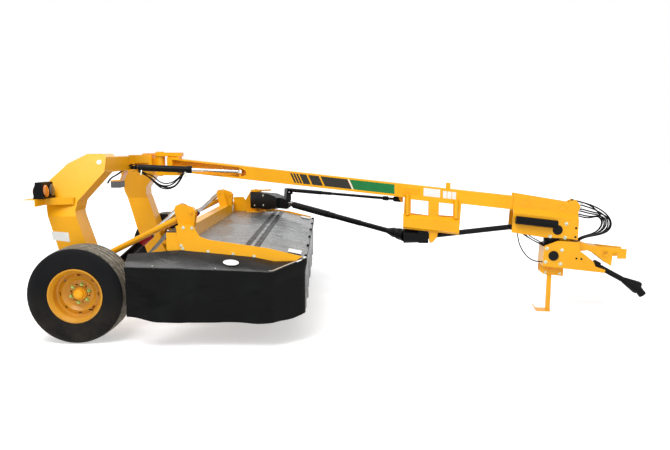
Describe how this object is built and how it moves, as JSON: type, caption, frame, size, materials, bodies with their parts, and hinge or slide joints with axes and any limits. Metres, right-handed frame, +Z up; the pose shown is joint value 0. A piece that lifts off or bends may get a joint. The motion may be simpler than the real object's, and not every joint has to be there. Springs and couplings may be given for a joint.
{
  "type": "trailed disc mower",
  "caption": "Trailed centre-pivot disc mower: swinging tongue and drawbar hitch over a skirted cutting header carried by links from a two-wheeled arched frame.",
  "frame": {"origin": "centre of the bounding box on the ground plane", "axes": "+X forward to the hitch, +Y to the machine's left, +Z up"},
  "size_m": [5.5364, 3.5, 1.545],
  "materials": {
    "yellow_paint": "gloss",
    "dark_paint": "satin",
    "grey_steel": "satin",
    "rod_chrome": "polished",
    "tyre": "matte",
    "cover_rubber": "satin",
    "skirt_rubber": "satin",
    "guard_plastic": "matte",
    "cast_grey": "satin"
  },
  "bodies": {
    "carriage": {"cross_beam": "yellow_paint", "pivot_head": "yellow_paint", "valve_block": "grey_steel", "arm_right": "yellow_paint", "arm_left": "yellow_paint", "lamp_brackets": "yellow_paint", "lamp_housings": "guard_plastic"},
    "wheel_right": {"tyre_right": "tyre", "rim_right": "yellow_paint"},
    "wheel_left": {"tyre_left": "tyre", "rim_left": "yellow_paint"},
    "tongue": {"boom": "yellow_paint", "driveline_bracket": "yellow_paint", "middle_gearbox": "guard_plastic", "front_shaft": "guard_plastic", "hitch_housing": "yellow_paint", "upper_gearbox": "cast_grey", "document_tube": "guard_plastic"},
    "swing_barrel": {"swing_barrel": "dark_paint"},
    "swing_rod": {"swing_rod": "rod_chrome"},
    "hitch": {"hitch_frame": "yellow_paint", "lower_gearbox": "cast_grey", "hitch_yoke": "yellow_paint"},
    "pto_shaft": {"pto_shaft": "guard_plastic"},
    "stand": {"stand": "yellow_paint"},
    "lower_links": {"lower_links": "yellow_paint"},
    "upper_links": {"upper_links": "yellow_paint"},
    "lift_barrels": {"lift_barrels": "dark_paint"},
    "lift_rods": {"lift_rods": "rod_chrome"},
    "header": {"header_beam": "yellow_paint", "header_frame": "yellow_paint", "end_panels": "yellow_paint", "deck_cover": "cover_rubber", "skirts": "skirt_rubber", "end_covers": "cover_rubber", "rear_flaps": "skirt_rubber", "cutterbar": "cast_grey", "swivel_bracket": "yellow_paint"},
    "drive_box": {"drive_box": "dark_paint"},
    "drive_head": {"drive_head": "dark_paint"},
    "drive_cross": {"drive_cross": "grey_steel"},
    "drive_rear": {"drive_rear": "guard_plastic"},
    "drive_first": {"drive_first": "guard_plastic"},
    "drive_second": {"drive_second": "guard_plastic"},
    "drive_inner": {"drive_inner": "guard_plastic"},
    "steering_tube": {"steering_tube": "dark_paint"},
    "steering_middle": {"steering_middle": "dark_paint"},
    "steering_rod": {"steering_rod": "dark_paint"},
    "disc_body_1": {"disc_1": "grey_steel"},
    "disc_body_2": {"disc_2": "grey_steel"},
    "disc_body_3": {"disc_3": "grey_steel"},
    "disc_body_4": {"disc_4": "grey_steel"},
    "disc_body_5": {"disc_5": "grey_steel"},
    "disc_body_6": {"disc_6": "grey_steel"},
    "disc_body_7": {"disc_7": "grey_steel"},
    "disc_body_8": {"disc_8": "grey_steel"}
  },
  "joints": [
    {"name": "wheel_right_spin", "type": "hinge", "parent": "carriage", "child": "wheel_right", "pos_m": [-2.32025, -1.4365, 0.3935], "axis": [0, 1, 0], "continuous": true},
    {"name": "wheel_left_spin", "type": "hinge", "parent": "carriage", "child": "wheel_left", "pos_m": [-2.32025, 1.4365, 0.3935], "axis": [0, 1, 0], "continuous": true},
    {"name": "tongue_swing", "type": "hinge", "parent": "carriage", "child": "tongue", "pos_m": [-2.01125, 0, 1.42], "axis": [0, 0, 1], "range_deg": [-4, 28]},
    {"name": "swing_barrel_turn", "type": "hinge", "parent": "carriage", "child": "swing_barrel", "pos_m": [-2.19925, -0.3, 1.391], "axis": [0, 0, 1], "range_deg": [-3.07, 21.22]},
    {"name": "swing_rod_slide", "type": "slide", "parent": "swing_barrel", "child": "swing_rod", "axis": [0.9887, 0.1431, -0.0444], "range_m": [-0.01678, 0.11446]},
    {"name": "hitch_swivel", "type": "hinge", "parent": "tongue", "child": "hitch", "pos_m": [1.87828, -0.51897, 0.687], "axis": [0, 0, 1], "range_deg": [-60, 60]},
    {"name": "pto_shaft_tilt", "type": "hinge", "parent": "hitch", "child": "pto_shaft", "pos_m": [2.24106, -0.56738, 0.49], "axis": [0.1323, 0.9912, 0], "range_deg": [-30, 15]},
    {"name": "stand_fold", "type": "hinge", "parent": "hitch", "child": "stand", "pos_m": [1.86341, -0.51699, 0.412], "axis": [0.1323, 0.9912, 0], "range_deg": [0, 90]},
    {"name": "lift", "type": "hinge", "parent": "carriage", "child": "lower_links", "pos_m": [-2.26625, 0, 0.26], "axis": [0, -1, 0], "range_deg": [-13.4, 24.2]},
    {"name": "header_level", "type": "hinge", "parent": "lower_links", "child": "header", "pos_m": [-1.44725, 0, 0.669], "axis": [0, -1, 0], "range_deg": [-24.25, 13.45]},
    {"name": "upper_link_turn", "type": "hinge", "parent": "carriage", "child": "upper_links", "pos_m": [-2.28625, 0, 0.62], "axis": [0, -1, 0], "range_deg": [-13.45, 24.25]},
    {"name": "lift_barrel_turn", "type": "hinge", "parent": "carriage", "child": "lift_barrels", "pos_m": [-2.25625, 0, 0.47], "axis": [0, -1, 0], "range_deg": [-12.97, 23.38]},
    {"name": "lift_rod_slide", "type": "slide", "parent": "lift_barrels", "child": "lift_rods", "axis": [0.7548, 0, 0.6559], "range_m": [-0.05254, 0.09448]},
    {"name": "drive_box_turn", "type": "hinge", "parent": "header", "child": "drive_box", "pos_m": [-1.19625, 1.5, 0.935], "axis": [0, 0, 1], "range_deg": [-3.58, 24.77]},
    {"name": "drive_head_turn", "type": "hinge", "parent": "drive_box", "child": "drive_head", "pos_m": [-0.79051, 1.05799, 0.925], "axis": [0, 0, 1], "range_deg": [-2.33, 4.16]},
    {"name": "drive_cross_tilt", "type": "hinge", "parent": "drive_head", "child": "drive_cross", "pos_m": [-0.74047, 1.00347, 0.925], "axis": [0.7367, 0.6762, 0], "range_deg": [-5.46, 9.82]},
    {"name": "drive_rear_tilt", "type": "hinge", "parent": "drive_cross", "child": "drive_rear", "pos_m": [-0.71091, 0.97128, 0.91994], "axis": [0.7367, 0.6762, 0], "range_deg": [-0.69, 4.56]},
    {"name": "drive_first_slide", "type": "slide", "parent": "drive_rear", "child": "drive_first", "axis": [0.6718, -0.7318, -0.115], "range_m": [-0.12141, 0.21887]},
    {"name": "drive_second_slide", "type": "slide", "parent": "drive_first", "child": "drive_second", "axis": [0.6718, -0.7318, -0.115], "range_m": [-0.38984, 0.05612]},
    {"name": "drive_inner_slide", "type": "slide", "parent": "drive_second", "child": "drive_inner", "axis": [0.6718, -0.7318, -0.115], "range_m": [-0.38984, 0.05612]},
    {"name": "steering_tube_tilt", "type": "hinge", "parent": "drive_head", "child": "steering_tube", "pos_m": [-0.74182, 1.00495, 1.09], "axis": [0.7367, 0.6762, 0], "range_deg": [-7.03, 12.65]},
    {"name": "steering_middle_slide", "type": "slide", "parent": "steering_tube", "child": "steering_middle", "axis": [0.6762, -0.7366, -0.0113], "range_m": [-0.10158, 0.18305]},
    {"name": "steering_rod_slide", "type": "slide", "parent": "steering_middle", "child": "steering_rod", "axis": [0.6762, -0.7366, -0.0113], "range_m": [-0.78348, 0.11235]},
    {"name": "disc_1_spin", "type": "hinge", "parent": "header", "child": "disc_body_1", "pos_m": [-0.86125, -1.47, 0.33], "axis": [0, 0, 1], "continuous": true},
    {"name": "disc_2_spin", "type": "hinge", "parent": "header", "child": "disc_body_2", "pos_m": [-0.86125, -1.05, 0.33], "axis": [0, 0, 1], "continuous": true},
    {"name": "disc_3_spin", "type": "hinge", "parent": "header", "child": "disc_body_3", "pos_m": [-0.86125, -0.63, 0.33], "axis": [0, 0, 1], "continuous": true},
    {"name": "disc_4_spin", "type": "hinge", "parent": "header", "child": "disc_body_4", "pos_m": [-0.86125, -0.21, 0.33], "axis": [0, 0, 1], "continuous": true},
    {"name": "disc_5_spin", "type": "hinge", "parent": "header", "child": "disc_body_5", "pos_m": [-0.86125, 0.21, 0.33], "axis": [0, 0, 1], "continuous": true},
    {"name": "disc_6_spin", "type": "hinge", "parent": "header", "child": "disc_body_6", "pos_m": [-0.86125, 0.63, 0.33], "axis": [0, 0, 1], "continuous": true},
    {"name": "disc_7_spin", "type": "hinge", "parent": "header", "child": "disc_body_7", "pos_m": [-0.86125, 1.05, 0.33], "axis": [0, 0, 1], "continuous": true},
    {"name": "disc_8_spin", "type": "hinge", "parent": "header", "child": "disc_body_8", "pos_m": [-0.86125, 1.47, 0.33], "axis": [0, 0, 1], "continuous": true}
  ],
  "couplings": [
    {"joint": "swing_barrel_turn", "follows": "tongue_swing", "ratio": 0.756},
    {"joint": "swing_rod_slide", "follows": "tongue_swing", "m_per_rad": 0.2332},
    {"joint": "header_level", "follows": "lift", "ratio": -1},
    {"joint": "upper_link_turn", "follows": "lift", "ratio": 1},
    {"joint": "lift_barrel_turn", "follows": "lift", "ratio": 0.964},
    {"joint": "lift_rod_slide", "follows": "lift", "m_per_rad": 0.2225},
    {"joint": "drive_box_turn", "follows": "tongue_swing", "ratio": 0.883},
    {"joint": "drive_head_turn", "follows": "lift", "ratio": 0.17},
    {"joint": "drive_cross_tilt", "follows": "lift", "ratio": 0.4037},
    {"joint": "drive_rear_tilt", "follows": "tongue_swing", "ratio": 0.1609},
    {"joint": "drive_first_slide", "follows": "lift", "m_per_rad": 0.517},
    {"joint": "drive_second_slide", "follows": "tongue_swing", "m_per_rad": -0.7967},
    {"joint": "drive_inner_slide", "follows": "tongue_swing", "m_per_rad": -0.7967},
    {"joint": "steering_tube_tilt", "follows": "lift", "ratio": 0.5206},
    {"joint": "steering_middle_slide", "follows": "lift", "m_per_rad": 0.4322},
    {"joint": "steering_rod_slide", "follows": "tongue_swing", "m_per_rad": -1.6022},
    {"joint": "disc_2_spin", "follows": "disc_1_spin", "ratio": -1},
    {"joint": "disc_3_spin", "follows": "disc_1_spin", "ratio": 1},
    {"joint": "disc_4_spin", "follows": "disc_1_spin", "ratio": -1},
    {"joint": "disc_5_spin", "follows": "disc_1_spin", "ratio": 1},
    {"joint": "disc_6_spin", "follows": "disc_1_spin", "ratio": -1},
    {"joint": "disc_7_spin", "follows": "disc_1_spin", "ratio": 1},
    {"joint": "disc_8_spin", "follows": "disc_1_spin", "ratio": -1}
  ]
}
